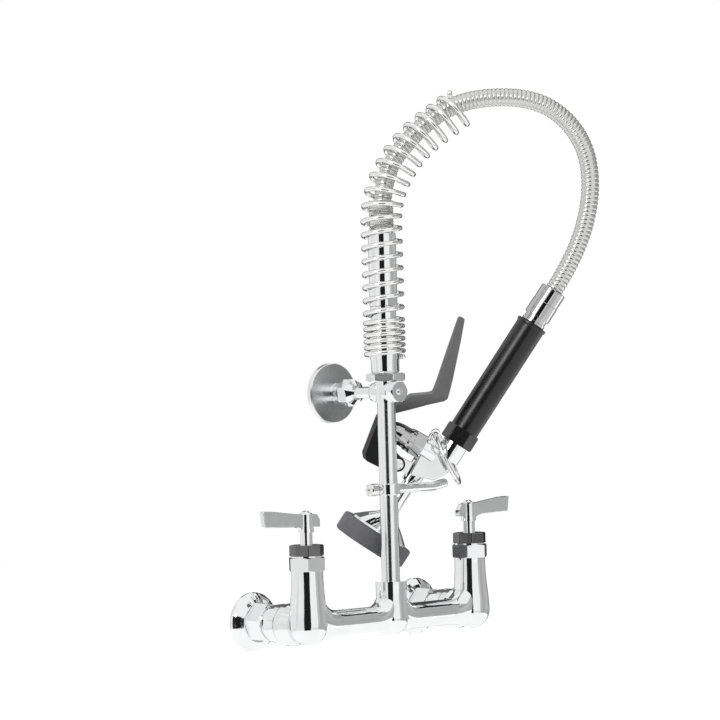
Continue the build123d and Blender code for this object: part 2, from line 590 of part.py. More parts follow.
with BuildPart() as valve_stem:
    turn(stem_axis, [(0, -18), (5.0, -18), (5.0, -17), (STEM_R, -17), (STEM_R, 27),
                     (6.4, 27), (6.4, 29), (STEM_R, 29), (STEM_R, STEM_TIP - 2),
                     (1.6, STEM_TIP - 0.4), (0, STEM_TIP)])
save(valve_stem, "valve_stem")

with BuildPart() as seat_washer:
    turn(stem_axis, [(STEM_R, -17), (6.2, -17), (6.2, SEAT_DEPTH - 3), (STEM_R, SEAT_DEPTH - 3)])
save(seat_washer, "seat_washer")

# The return spring sits between the bonnet's floor and the stem's collar.
with BuildPart() as return_spring:
    spring_sections = []
    for step in range(RETURN_TURNS * 8 + 1):
        turned = step / 8
        swing = 360 * turned
        height = 6.6 + turned * (19.8 / RETURN_TURNS)
        hub = stem_axis.from_local_coords(Vector(0, height, 0))
        outward = stem_axis.x_dir.rotate(Axis((0, 0, 0), stem_axis.y_dir), swing)
        with BuildSketch(Plane(origin=hub + outward * 5.3, x_dir=outward,
                               z_dir=stem_axis.y_dir.cross(outward))) as spring_section:
            RegularPolygon(0.6, 4)
        spring_sections.append(spring_section.sketch)
    loft(spring_sections, ruled=True)
save(return_spring, "return_spring")

# ---- Squeeze lever: a channel with deep cheeks, then a strap that forks round the lug ----
lever_outer = [(-104, 64.2), (-79.5, 57.8), (-40.8, 47.4), (-30, 45), (-26.6, 48.6),
               (-16.6, 61.7), (16.5, 78.5), (54.8, 70.3), (59.2, 66), (57.6, 50), (53.2, 38.6),
               (38.8, 38.6), (36.2, 50), (33.5, 64.6), (8.2, 68.8), (-3.5, 57.4),
               (-17.9, 43.9), (-27.6, 33.9), (-31.5, 32), (-36.1, 33.4), (-49.1, 37.7),
               (-67.3, 44.5), (-85.5, 51.4), (-103.6, 58.9)]
lever_inner = [(-101.6, 61), (-79.9, 55.3), (-41.2, 44.9), (-31.2, 42.7), (-24.9, 47.2),
               (-15, 59.7), (17, 76), (53.6, 68.1), (56.6, 64.6), (55.4, 47), (34, 47),
               (-20, 20), (-106, 40)]
with BuildPart() as lever_channel:
    slab(gun, lever_inner, LEVER_HALF_WIDTH)
    slab(gun_plan, [(-110, -1.6), (-28, -6.6), (0, -7.1), (110, -7.1), (110, 7.1), (0, 7.1),
                    (-28, 6.6), (-110, 1.6)], 120, Mode.INTERSECT)
with BuildPart() as squeeze_lever:
    slab(gun, lever_outer, LEVER_HALF_WIDTH,
         rounds=[((-104, 64.2), 2.1), ((-103.6, 58.9), 2.1), ((-30, 45), 3), ((-31.5, 32), 4),
                 ((16.5, 78.5), 8), ((54.8, 70.3), 3), ((59.2, 66), 3)])
    rod(pivot_axis, 7.2, -LEVER_HALF_WIDTH, LEVER_HALF_WIDTH)
    slab(gun_plan, [(-110, -4), (-28, -LEVER_HALF_WIDTH), (110, -LEVER_HALF_WIDTH),
                    (110, LEVER_HALF_WIDTH), (-28, LEVER_HALF_WIDTH), (-110, 4)], 120,
         Mode.INTERSECT)
    add(lever_channel.part, mode=Mode.SUBTRACT)
    slab(gun, [(34, 18), (56, 18), (62, 48), (34, 48)], 4.4, Mode.SUBTRACT)
    rod(pivot_axis, 3.05, -12, 12, Mode.SUBTRACT)
save(squeeze_lever, "squeeze_lever")

with BuildPart() as lever_screw:
    head = LEVER_HALF_WIDTH + 0.1
    turn(pivot_axis, [(0, -head), (3.0, -head), (3.0, head), (5.6, head), (5.2, head + 0.9),
                      (3.4, head + 1.6), (0, head + 1.7)])
    turn(pivot_axis, [(3.0, -head), (5.4, -head), (5.4, -head - 1.2), (4.8, -head - 1.6),
                      (0, -head - 1.6), (0, -head)])
save(lever_screw, "lever_screw")

# ---- Hold-down ring, hanging in its lug and round the inlet neck ----
with BuildPart() as hold_down_ring:
    with BuildSketch(across(ring_lug, 0)) as ring_wire:
        Circle(RING_WIRE_R)
    revolve(ring_wire.sketch, axis=Axis(ring_plane.origin, ring_plane.z_dir))
save(hold_down_ring, "hold_down_ring")

# ---- Spray head ----
with BuildPart() as spray_tube:
    turn(spray_axis, [(4.2, 46), (6.5, 46), (6.5, 97), (4.2, 97)])
save(spray_tube, "spray_tube")

with BuildPart() as spray_bell:
    turn(spray_axis, [(6.5, 90.5), (9.0, 90.5), (9.8, 91.5), (10.4, 93), (19.6, 99.9),
                      (28.4, 107.4), (29, 109.5), (29, 121.5), (27.4, 121.5), (27.4, 110.8),
                      (18.2, 101.6), (9.5, 95.2), (6.5, 95)])
save(spray_bell, "spray_bell")

with BuildPart() as spray_plate:
    rod(spray_axis, 27.4, 116.5, 118.5)
    with Locations(across(spray_axis, 118.5)):
        for ring_radius, holes in JET_RINGS:
            with PolarLocations(ring_radius, holes):
                Hole(JET_R, depth=4)
        Hole(2.0, depth=4)
save(spray_plate, "spray_plate")

with BuildPart() as spray_screw:
    turn(spray_axis, [(0, 110.5), (2.0, 110.5), (2.0, 118.5), (4.2, 118.5), (3.8, 120.1),
                      (0, 120.7)])
save(spray_screw, "spray_screw")

with BuildPart() as rubber_bumper:
    turn(spray_axis, [(29, 110), (34, 109.3), (BUMPER_R - 1.6, 109.5),
                      (BUMPER_R - 0.4, 110.4), (BUMPER_R, 112), (BUMPER_R, 125.4),
                      (BUMPER_R - 0.6, 126.8), (BUMPER_R - 1.8, 127.8), (31.5, 127.8),
                      (30.6, 121.5), (29, 121.5)])
save(rubber_bumper, "rubber_bumper")
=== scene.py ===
import json
import math

import bpy
import numpy as np
from bpy.props import FloatProperty, FloatVectorProperty, IntProperty, PointerProperty
from mathutils import Matrix, Vector


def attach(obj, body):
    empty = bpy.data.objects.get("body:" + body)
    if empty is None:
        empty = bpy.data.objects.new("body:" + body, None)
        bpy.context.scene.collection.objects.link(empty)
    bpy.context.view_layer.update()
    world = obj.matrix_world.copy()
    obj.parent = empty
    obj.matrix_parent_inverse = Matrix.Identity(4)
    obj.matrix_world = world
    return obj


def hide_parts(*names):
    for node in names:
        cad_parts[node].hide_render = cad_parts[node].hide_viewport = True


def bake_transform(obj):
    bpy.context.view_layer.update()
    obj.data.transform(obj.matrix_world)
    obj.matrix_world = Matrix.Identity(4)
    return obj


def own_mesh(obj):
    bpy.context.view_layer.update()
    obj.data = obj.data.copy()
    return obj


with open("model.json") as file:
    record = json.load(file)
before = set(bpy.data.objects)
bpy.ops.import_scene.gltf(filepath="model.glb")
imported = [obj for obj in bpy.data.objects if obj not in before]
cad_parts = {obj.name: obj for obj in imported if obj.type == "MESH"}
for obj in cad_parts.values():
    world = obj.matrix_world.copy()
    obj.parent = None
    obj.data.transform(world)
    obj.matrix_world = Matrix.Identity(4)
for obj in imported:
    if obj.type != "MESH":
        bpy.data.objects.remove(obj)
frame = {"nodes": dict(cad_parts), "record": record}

bl_info = {
    "name": "Pre-rinse faucet",
    "version": (1, 0, 0),
    "blender": (4, 5, 0),
    "location": "3D View > Sidebar > Faucet",
    "description": "Dresses the packed pre-rinse faucet: hose, springs, finishes and studio",
    "category": "Object",
}

# Lengths are in metres. The wall is at y = 0, and the riser stands upright in front of it.
FIXED, GUN = "mixing_faucet", "spray_valve"
RISER_OUT = 0.081

# The spray valve: a point on its grip's axis, and that axis's direction, down from the hose.
GUN_NECK = Vector((0.0803, -0.0882, 0.1596))
GUN_AXIS = Vector((-0.4191, 0.3752, -0.8268)).normalized()

# The hose leaves its sleeve on top of the riser and ends in the collar over the grip.
HOSE_START = (0.0, -RISER_OUT, 0.359)
HOSE_ROUTE = [HOSE_START, (0.0, -RISER_OUT, 0.409), (0.0255, -0.0973, 0.45),
              (0.061, -0.121, 0.4815), (0.113, -0.154, 0.486), (0.148, -0.1725, 0.471),
              (0.1745, -0.1815, 0.4365), (0.178, -0.1822, 0.388),
              tuple(GUN_NECK - GUN_AXIS * 0.211), tuple(GUN_NECK - GUN_AXIS * 0.173)]
HOSE_SIDES, ROUTE_STEPS = 28, 40
RING_PROFILE = (0.0, 0.55, 0.9, 1.0, 1.0, 1.0, 0.9, 0.55)  # height along one ring

# The overhead spring: close turns above its seat, then open ones whose pitch grows a little.
# Its axis is straight, bends twice (radius, angle) and runs out straight.
SPRING_SEAT_Z = 0.2406
CLOSE_TURNS, CLOSE_PITCH = 6.0, 0.0058
OPEN_TURNS, OPEN_PITCH, OPEN_GROWTH = 18.45, 0.01206, 0.000026
STRAIGHT_TOP_Z = 0.3692
SPRING_BENDS = ((0.0895, math.radians(24.3)), (0.122, math.radians(30.3)))
SPRING_HEADING = Vector((0.845, -0.535, 0.0)).normalized()
FIRST_ANGLE = math.radians(-90)
STATIONS_PER_TURN = 40

# Camera: where it stands, what it looks at and how it is turned.
CAMERA_TURN, CAMERA_RISE, CAMERA_ROLL = (math.radians(a) for a in (-41.1, -0.5, -1.53))
CAMERA_DISTANCE = 2.549
AIM_ACROSS, AIM_HEIGHT = -0.0234, 0.2408
CAMERA_LENS, SENSOR_WIDTH = 136.55, 36.0
CLIP_START, CLIP_END = 0.05, 60.0

# Studio: the floor, and the world's strength for soft light and for what is seen.
FLOOR_Z, FLOOR_HALF = -1.0, 14.0
FLOOR_GREY, FLOOR_ROUGHNESS = 0.9, 0.9
FLOOR_GLOW, FLOOR_GLOW_SHARE = 1.12, 0.9
WORLD_LIGHT, WORLD_SEEN = 0.55, 1.0

# Cards that only the gloss shows. Turns and rises are in degrees from the camera's side:
# name, turns, rises, brightness, distance, how uneven the brightness is
CARD_CENTRE = Vector((0.0, -0.15, 0.15))
CARD_STEPS = 24
CARDS = (
    ("dark_flag", (-27, 14), (-24, 17), 0.015, 2.6, (0.8, 1.2)),
    ("left_softbox", (-48, -24), (16, 31), 6.0, 2.4, (0.95, 1.05)),
    ("right_softbox", (90, 125), (-44, -25), 6.0, 2.4, (0.95, 1.05)),
    ("front_card", (15, 59), (-32, -8), 0.84, 3.0, (0.85, 1.1)),
    ("left_card", (-151, -28), (-40, 60), 0.93, 3.0, (0.85, 1.05)),
    ("right_card", (60, 149), (-19, 38), 0.42, 3.0, (0.7, 1.4)),
    ("right_top_edge", (70, 149), (39, 46), 0.02, 3.0, (0.8, 1.2)),
    ("right_far_edge", (150, 179), (-25, 46), 0.07, 3.0, (0.8, 1.2)),
    ("left_far_edge", (-179, -152), (-30, 50), 0.16, 3.0, (0.8, 1.2)),
)

# Lamps: name, turn and rise in degrees, distance, width, power
LAMP_CENTRE = Vector((0.0, -0.15, 0.2))
LAMPS = (
    ("key_lamp", -70, 40, 2.6, 1.2, 28.0),
    ("fill_lamp", 45, 25, 2.8, 1.4, 14.0),
    ("top_lamp", 150, 75, 2.2, 1.6, 16.0),
)


# ---- Sizes and colours that a user would change ----
class FaucetSizes(bpy.types.PropertyGroup):
    """Sizes of the hose and the overhead spring."""

    hose_radius: FloatProperty(
        name="Hose radius", description="Outside radius of the hose",
        default=0.0085, unit="LENGTH")
    hose_pitch: FloatProperty(
        name="Hose pitch", description="Length of one ring of the interlocked hose",
        default=0.0040, unit="LENGTH")
    hose_groove: FloatProperty(
        name="Hose groove", description="Depth of the groove between two rings",
        default=0.0009, unit="LENGTH")
    wire_radius: FloatProperty(
        name="Spring wire radius", description="Radius of the overhead spring's wire",
        default=0.00225, unit="LENGTH")
    coil_radius: FloatProperty(
        name="Spring coil radius", description="From the spring's axis to the wire's middle",
        default=0.0174, unit="LENGTH")
    wire_sides: IntProperty(
        name="Wire sides", description="Faces round the spring's wire", default=14, min=6)


class FaucetColours(bpy.types.PropertyGroup):
    """Colours of the finishes."""

    chrome: FloatVectorProperty(
        name="Chrome", description="Polished chrome plate", subtype="COLOR",
        default=(0.86, 0.865, 0.87), min=0, max=1)
    dark_chrome: FloatVectorProperty(
        name="Dark nut", description="Darker plate of the packing nuts", subtype="COLOR",
        default=(0.15, 0.15, 0.154), min=0, max=1)
    bonnet_chrome: FloatVectorProperty(
        name="Bonnet", description="Plate of the spray valve's bonnet and the hose collar",
        subtype="COLOR", default=(0.5, 0.5, 0.505), min=0, max=1)
    steel: FloatVectorProperty(
        name="Stainless", description="Bright stainless steel", subtype="COLOR",
        default=(0.86, 0.86, 0.855), min=0, max=1)
    hose: FloatVectorProperty(
        name="Hose steel", description="Satin steel of the hose", subtype="COLOR",
        default=(0.66, 0.66, 0.65), min=0, max=1)
    grip: FloatVectorProperty(
        name="Grip", description="Black moulded grip and nut", subtype="COLOR",
        default=(0.009, 0.009, 0.0095), min=0, max=1)
    lever: FloatVectorProperty(
        name="Lever", description="Grey coating of the lever", subtype="COLOR",
        default=(0.165, 0.165, 0.168), min=0, max=1)
    rubber: FloatVectorProperty(
        name="Bumper", description="Grey rubber of the bumper", subtype="COLOR",
        default=(0.105, 0.105, 0.11), min=0, max=1)
    brass: FloatVectorProperty(
        name="Brass", description="Machined brass of the inner pieces", subtype="COLOR",
        default=(0.72, 0.55, 0.27), min=0, max=1)


def sizes():
    return bpy.context.scene.faucet_sizes


def colours():
    return bpy.context.scene.faucet_colours


# ---- Shader pieces ----
# Sockets of a colour Mix node
MIX_FACTOR, MIX_FROM, MIX_TO, MIX_RESULT = 0, 6, 7, 2


def new_finish(name):
    """A material with one Principled shader, its tree and a point in the object's own space."""
    material = bpy.data.materials.new(f"{name}_finish")
    material.use_nodes = True
    tree = material.node_tree
    shader = tree.nodes["Principled BSDF"]
    place = tree.nodes.new("ShaderNodeTexCoord").outputs["Object"]
    return material, tree, shader, place


def noise(tree, place, scale, detail=3.0, stretch=None):
    """Noise of a number of cycles to the metre, stretched where the grain has a direction."""
    node = tree.nodes.new("ShaderNodeTexNoise")
    node.inputs["Scale"].default_value = scale
    node.inputs["Detail"].default_value = detail
    if stretch:
        mapping = tree.nodes.new("ShaderNodeMapping")
        mapping.inputs["Scale"].default_value = stretch
        tree.links.new(place, mapping.inputs["Vector"])
        place = mapping.outputs["Vector"]
    tree.links.new(place, node.inputs["Vector"])
    return node.outputs["Fac"]


def spread(tree, value, low, high, start=0.3, end=0.7):
    """A value's band from start to end, which is noise's middle, spread from low to high."""
    node = tree.nodes.new("ShaderNodeMapRange")
    for socket, number in (("From Min", start), ("From Max", end), ("To Min", low),
                           ("To Max", high)):
        node.inputs[socket].default_value = number
    tree.links.new(value, node.inputs["Value"])
    return node.outputs["Result"]


def roughen(tree, shader, height, strength, depth):
    """Bumps of a depth, by a height."""
    node = tree.nodes.new("ShaderNodeBump")
    node.inputs["Strength"].default_value = strength
    node.inputs["Distance"].default_value = depth
    tree.links.new(height, node.inputs["Height"])
    tree.links.new(node.outputs["Normal"], shader.inputs["Normal"])


def tint(tree, shader, value, first, second):
    """Base colour between two shades, by a value."""
    node = tree.nodes.new("ShaderNodeMix")
    node.data_type = "RGBA"
    node.inputs[MIX_FROM].default_value = (*first, 1.0)
    node.inputs[MIX_TO].default_value = (*second, 1.0)
    tree.links.new(value, node.inputs[MIX_FACTOR])
    tree.links.new(node.outputs[MIX_RESULT], shader.inputs["Base Color"])


def shade(colour, factor):
    return tuple(min(channel * factor, 1.0) for channel in colour)


def any_ray(tree, *kinds):
    """1 for a ray of any of these kinds, otherwise 0."""
    path = tree.nodes.new("ShaderNodeLightPath")
    found = path.outputs[kinds[0]]
    for kind in kinds[1:]:
        either = tree.nodes.new("ShaderNodeMath")
        either.operation = "MAXIMUM"
        tree.links.new(found, either.inputs[0])
        tree.links.new(path.outputs[kind], either.inputs[1])
        found = either.outputs[0]
    return found


# ---- Finishes ----
# Cycles to the metre of each kind of noise
WIPE_MARKS, PLATE_TONES, PLATE_WAVES = 140.0, 60.0, 55.0
DRAWN_LINES, WORN_PATCHES, HANDLED_PATCHES = 900.0, 35.0, 90.0
CARD_PATCHES = 0.9
# Stretch of the fine lines: they run longer where it is below 1
EVEN, BRUSHED, MACHINED = (1.0, 1.0, 1.0), (1.0, 1.0, 0.2), (1.0, 1.0, 0.3)
GRAIN_STRENGTH = 0.6


def plated(name, colour, wave=0.0, rough=(0.03, 0.07)):
    """Plate: faint wipe marks in its gloss, slow changes of tone, and waves of a depth."""
    material, tree, shader, place = new_finish(name)
    shader.inputs["Metallic"].default_value = 1.0
    wipe_marks = noise(tree, place, WIPE_MARKS, detail=4.0)
    tree.links.new(spread(tree, wipe_marks, *rough), shader.inputs["Roughness"])
    tone = spread(tree, noise(tree, place, PLATE_TONES), 0.0, 1.0)
    tint(tree, shader, tone, shade(colour, 0.97), shade(colour, 1.02))
    if wave:
        roughen(tree, shader, noise(tree, place, PLATE_WAVES, detail=1.0), 1.0, wave)
    return material


def drawn(name, colour, rough, grain):
    """Drawn or brushed steel: fine lines in its gloss and colour."""
    material, tree, shader, place = new_finish(name)
    shader.inputs["Metallic"].default_value = 1.0
    lines = noise(tree, place, DRAWN_LINES, detail=2.0, stretch=grain)
    tree.links.new(spread(tree, lines, *rough), shader.inputs["Roughness"])
    tone = spread(tree, lines, 0.0, 1.0)
    tint(tree, shader, tone, shade(colour, 0.9), shade(colour, 1.08))
    return material


def moulded(name, colour, rough, grain, depth, worn=1.25):
    """Moulded plastic, coating or rubber: a fine grain and slow changes to a worn tone."""
    material, tree, shader, place = new_finish(name)
    patches = spread(tree, noise(tree, place, WORN_PATCHES, detail=4.0), 0.0, 1.0)
    tint(tree, shader, patches, colour, shade(colour, worn))
    handled = noise(tree, place, HANDLED_PATCHES)
    tree.links.new(spread(tree, handled, *rough), shader.inputs["Roughness"])
    roughen(tree, shader, noise(tree, place, grain, detail=2.0), GRAIN_STRENGTH, depth)
    return material


def lever_coat(colour):
    """The lever's coating, with painted shade darkening its foot, below the bend, where the
    riser and body shade it.
    """
    shade_full_below, unshaded_above, painted_foot_shade, gloss = 0.184, 0.206, 0.1, 0.2
    material = moulded("grey_lever", colour, rough=(0.34, 0.46), grain=1500.0,
                       depth=0.00005, worn=1.2)
    tree = material.node_tree
    shader = tree.nodes["Principled BSDF"]
    place = tree.nodes.new("ShaderNodeSeparateXYZ")
    tree.links.new(tree.nodes.new("ShaderNodeTexCoord").outputs["Object"], place.inputs[0])
    unshaded_colour = shader.inputs["Base Color"].links[0].from_socket
    # Painted shade: the coating's colour goes darker towards the foot, below the bend, standing
    # in for the shade of the riser and body.
    mix = tree.nodes.new("ShaderNodeMix")
    mix.data_type = "RGBA"
    mix.inputs[MIX_FROM].default_value = (*shade(colour, painted_foot_shade), 1.0)
    tree.links.new(unshaded_colour, mix.inputs[MIX_TO])
    height = spread(tree, place.outputs["Z"], 0.0, 1.0, shade_full_below, unshaded_above)
    tree.links.new(height, mix.inputs[MIX_FACTOR])
    tree.links.new(mix.outputs[MIX_RESULT], shader.inputs["Base Color"])
    shader.inputs["Specular IOR Level"].default_value = gloss
    return material


def make_finishes():
    """Every finish of the faucet, by name."""
    tone = colours()
    return {
        "cast_chrome": plated("cast_chrome", tone.chrome, wave=0.00035),
        "chrome": plated("chrome", tone.chrome, wave=0.00004),
        "dark_nut": plated("dark_nut", tone.dark_chrome, rough=(0.06, 0.14)),
        "bonnet_chrome": plated("bonnet_chrome", tone.bonnet_chrome),
        "soft_chrome": plated("soft_chrome", tone.chrome, rough=(0.15, 0.2)),
        "satin_plate": plated("satin_plate", tone.chrome, rough=(0.27, 0.3)),
        "spring_steel": drawn("spring_steel", tone.steel, (0.1, 0.16), EVEN),
        "stainless": drawn("stainless", tone.steel, (0.12, 0.24), BRUSHED),
        "hose_steel": drawn("hose_steel", tone.hose, (0.2, 0.3), EVEN),
        "black_grip": moulded("black_grip", tone.grip, rough=(0.22, 0.28), grain=1800.0,
                              depth=0.000006),
        "grey_lever": lever_coat(tone.lever),
        "grey_rubber": moulded("grey_rubber", tone.rubber, rough=(0.55, 0.8), grain=1200.0,
                               depth=0.00008, worn=1.4),
        "black_rubber": moulded("black_rubber", shade(tone.grip, 1.5), rough=(0.6, 0.8),
                                grain=1500.0, depth=0.00005),
        "brass": drawn("brass", tone.brass, (0.2, 0.35), MACHINED),
    }


finishes = {}


def paint(piece, name):
    """Give a piece one finish. All finishes are made at the first call."""
    if not finishes:
        finishes.update(make_finishes())
    piece.data.materials.clear()
    piece.data.materials.append(finishes[name])


def dress(*nodes, finish=None):
    """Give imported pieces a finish, or the one of their own material's name."""
    own = {part["node"]: part["material_slot"] for part in frame["record"]["subparts"]}
    for node in nodes:
        paint(frame["nodes"][node], finish or own[node])


def both_sides(*names):
    return [f"{side}_{name}" for side in ("left", "right") for name in names]


# ---- Meshes, curves and swept wires ----
def solid(name, vertices, faces):
    """A smooth-shaded mesh object in the row's frame."""
    mesh = bpy.data.meshes.new(name)
    mesh.from_pydata([tuple(v) for v in vertices], [], faces)
    mesh.validate()
    mesh.shade_smooth()
    piece = bpy.data.objects.new(name, mesh)
    bpy.context.scene.collection.objects.link(piece)
    return piece


def route_points(route):
    """Points along the smooth line that a route's points control."""
    line = bpy.data.curves.new("hose_route", "CURVE")
    line.dimensions = "3D"
    line.resolution_u = ROUTE_STEPS
    spline = line.splines.new("NURBS")
    spline.points.add(len(route) - 1)
    for point, place in zip(spline.points, route):
        point.co = (*place, 1.0)
    spline.order_u = 3
    spline.use_endpoint_u = True
    holder = bpy.data.objects.new("hose_route", line)
    mesh = bpy.data.meshes.new_from_object(holder)
    points = np.array([vertex.co for vertex in mesh.vertices])
    bpy.data.objects.remove(holder)
    bpy.data.curves.remove(line)
    bpy.data.meshes.remove(mesh)
    return points


def even_points(points, count):
    """The same line with evenly spaced points, and its length."""
    steps = np.linalg.norm(np.diff(points, axis=0), axis=1)
    reach = np.concatenate([[0.0], np.cumsum(steps)])
    spots = np.linspace(0.0, reach[-1], count)
    even = [np.interp(spots, reach, points[:, axis]) for axis in range(3)]
    return np.stack(even, axis=1), reach[-1]


def swept(name, points, radii, sides):
    """A closed tube along points, with a radius at each."""
    tangents = np.gradient(points, axis=0)
    tangents /= np.linalg.norm(tangents, axis=1)[:, None]
    normal = Vector(tangents[0]).orthogonal().normalized()
    angles = np.linspace(0.0, 2 * math.pi, sides, endpoint=False)
    vertices = []
    for index, (point, tangent) in enumerate(zip(points, tangents)):
        if index:
            turn = Vector(tangents[index - 1]).rotation_difference(Vector(tangent))
            normal = (turn @ normal).normalized()
        side = Vector(tangent).cross(normal)
        ring = (np.outer(np.cos(angles), normal) + np.outer(np.sin(angles), side))
        vertices.append(point + ring * radii[index])
    rings = len(points)
    faces = []
    for ring in range(rings - 1):
        for k in range(sides):
            a, b = ring * sides + k, ring * sides + (k + 1) % sides
            faces.append((a, b, b + sides, a + sides))
    faces.append(tuple(reversed(range(sides))))
    faces.append(tuple(range((rings - 1) * sides, rings * sides)))
    return solid(name, np.concatenate(vertices), faces)


# ---- Overhead spring ----
def spring_axis(length):
    """Where the spring's own axis is, a length up from its seat, and how far it leans."""
    straight = STRAIGHT_TOP_Z - SPRING_SEAT_Z
    if length <= straight:
        return 0.0, SPRING_SEAT_Z + length, 0.0
    run, height, lean, left = 0.0, STRAIGHT_TOP_Z, 0.0, length - straight
    for radius, angle in SPRING_BENDS:
        swing = min(left / radius, angle)
        run += radius * (math.cos(lean) - math.cos(lean + swing))
        height += radius * (math.sin(lean + swing) - math.sin(lean))
        lean += swing
        left -= swing * radius
    return run + left * math.sin(lean), height + left * math.cos(lean), lean


def spring_points():
    """The middle of the spring's wire, from its seat to its upper end."""
    size = sizes()
    level = Vector((-SPRING_HEADING.y, SPRING_HEADING.x, 0.0))
    points = []
    for step in range(int((CLOSE_TURNS + OPEN_TURNS) * STATIONS_PER_TURN) + 1):
        turns = step / STATIONS_PER_TURN
        opened = max(turns - CLOSE_TURNS, 0.0)
        run, height, lean = spring_axis(
            size.wire_radius + min(turns, CLOSE_TURNS) * CLOSE_PITCH
            + opened * OPEN_PITCH + opened * opened * OPEN_GROWTH)
        axis = SPRING_HEADING * math.sin(lean) + Vector((0, 0, 1)) * math.cos(lean)
        angle = FIRST_ANGLE + 2 * math.pi * turns
        outward = level * math.cos(angle) + axis.cross(level) * math.sin(angle)
        middle = Vector((0.0, -RISER_OUT, height)) + SPRING_HEADING * run
        points.append(middle + outward * size.coil_radius)
    return np.array(points)


# ---- Studio pieces ----
def studio_way(turn, rise):
    """The direction that is turned and raised by angles from the camera's side."""
    angle = CAMERA_TURN + turn
    return Vector((math.sin(angle) * math.cos(rise), -math.cos(angle) * math.cos(rise),
                   math.sin(rise)))


def hang_card(name, turns, rises, brightness, distance, uneven):
    """A curved card that only the gloss shows."""
    vertices = []
    for step in range(CARD_STEPS + 1):
        turn = turns[0] + (turns[1] - turns[0]) * step / CARD_STEPS
        way = studio_way(math.radians(turn), 0.0)
        for rise in rises:
            height = Vector((0.0, 0.0, distance * math.tan(math.radians(rise))))
            vertices.append(CARD_CENTRE + way * distance + height)
    faces = [(2 * k, 2 * k + 2, 2 * k + 3, 2 * k + 1) for k in range(CARD_STEPS)]
    piece = solid(name, vertices, faces)
    material = bpy.data.materials.new(name)
    material.use_nodes = True
    tree = material.node_tree
    tree.nodes.remove(tree.nodes["Principled BSDF"])
    glow = tree.nodes.new("ShaderNodeEmission")
    place = tree.nodes.new("ShaderNodeTexCoord").outputs["Object"]
    patches = noise(tree, place, CARD_PATCHES, detail=2.0)
    strength = spread(tree, patches, *(brightness * share for share in uneven))
    tree.links.new(strength, glow.inputs["Strength"])
    tree.links.new(glow.outputs["Emission"], tree.nodes["Material Output"].inputs["Surface"])
    piece.data.materials.append(material)
    piece.visible_camera = False
    piece.visible_shadow = False
    piece.visible_diffuse = False


def hang_lamp(name, turn, rise, distance, width, power):
    """A soft square lamp that the gloss doesn't show."""
    data = bpy.data.lights.new(name, "AREA")
    data.size, data.energy = width, power
    lamp = bpy.data.objects.new(name, data)
    bpy.context.scene.collection.objects.link(lamp)
    way = studio_way(math.radians(turn), math.radians(rise))
    lamp.location = LAMP_CENTRE + way * distance
    lamp.rotation_mode = "QUATERNION"
    lamp.rotation_quaternion = way.to_track_quat("Z", "Y")
    lamp.visible_glossy = False


def light_world(scene):
    """A plain world: soft light on the faucet, and white wherever it is seen."""
    world = bpy.data.worlds.new("studio")
    world.use_nodes = True
    scene.world = world
    tree = world.node_tree
    glow = tree.nodes["Background"]
    glow.inputs["Color"].default_value = (1.0, 1.0, 1.0, 1.0)
    seen = any_ray(tree, "Is Camera Ray", "Is Glossy Ray", "Is Transmission Ray")
    level = spread(tree, seen, WORLD_LIGHT, WORLD_SEEN, 0.0, 1.0)
    tree.links.new(level, glow.inputs["Strength"])


def lay_floor():
    """A pale floor that is seen as white and keeps a trace of the faucet's shadow."""
    corners = [(x * FLOOR_HALF, y * FLOOR_HALF, FLOOR_Z)
               for x, y in ((-1, -1), (1, -1), (1, 1), (-1, 1))]
    floor = solid("floor", corners, [(0, 1, 2, 3)])
    material, tree, shader, _ = new_finish("floor")
    shader.inputs["Base Color"].default_value = (FLOOR_GREY, FLOOR_GREY, FLOOR_GREY, 1.0)
    shader.inputs["Roughness"].default_value = FLOOR_ROUGHNESS
    glow = tree.nodes.new("ShaderNodeEmission")
    glow.inputs["Strength"].default_value = FLOOR_GLOW
    mix = tree.nodes.new("ShaderNodeMixShader")
    share = tree.nodes.new("ShaderNodeMath")
    share.operation = "MULTIPLY"
    share.inputs[1].default_value = FLOOR_GLOW_SHARE
    tree.links.new(any_ray(tree, "Is Camera Ray", "Is Glossy Ray"), share.inputs[0])
    tree.links.new(share.outputs[0], mix.inputs[0])
    tree.links.new(shader.outputs[0], mix.inputs[1])
    tree.links.new(glow.outputs[0], mix.inputs[2])
    tree.links.new(mix.outputs[0], tree.nodes["Material Output"].inputs["Surface"])
    floor.data.materials.append(material)


# ---- Operators ----
class FAUCET_OT_camera(bpy.types.Operator):
    """Put the camera where the faucet is seen from the front left"""

    bl_idname = "faucet.camera"
    bl_label = "Camera"

    def execute(self, context):
        back = studio_way(0.0, CAMERA_RISE)
        level = Vector((math.cos(CAMERA_TURN), math.sin(CAMERA_TURN), 0.0))
        roll = Matrix.Rotation(CAMERA_ROLL, 3, back)
        aim = Vector((0.0, -RISER_OUT, AIM_HEIGHT)) + level * AIM_ACROSS
        data = bpy.data.cameras.new("camera")
        data.lens, data.sensor_width = CAMERA_LENS, SENSOR_WIDTH
        data.clip_start, data.clip_end = CLIP_START, CLIP_END
        camera = bpy.data.objects.new("camera", data)
        context.scene.collection.objects.link(camera)
        turn = Matrix((roll @ level, roll @ back.cross(level), back)).transposed().to_4x4()
        camera.matrix_world = Matrix.Translation(aim + back * CAMERA_DISTANCE) @ turn
        context.scene.camera = camera
        return {"FINISHED"}


class FAUCET_OT_hose(bpy.types.Operator):
    """Make the interlocked steel hose from its sleeve on the riser to the spray valve"""

    bl_idname = "faucet.hose"
    bl_label = "Hose"

    def execute(self, context):
        size = sizes()
        line = route_points(HOSE_ROUTE)
        rings = round(even_points(line, 2)[1] / size.hose_pitch)
        points = even_points(line, rings * len(RING_PROFILE) + 1)[0]
        radii = [size.hose_radius - size.hose_groove * (1 - RING_PROFILE[k % len(RING_PROFILE)])
                 for k in range(len(points))]
        hose = swept("steel_hose", points, radii, HOSE_SIDES)
        paint(hose, "hose_steel")
        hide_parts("hose")
        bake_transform(hose)
        dress("hose")
        dress("hose_collar", finish="bonnet_chrome")
        return {"FINISHED"}


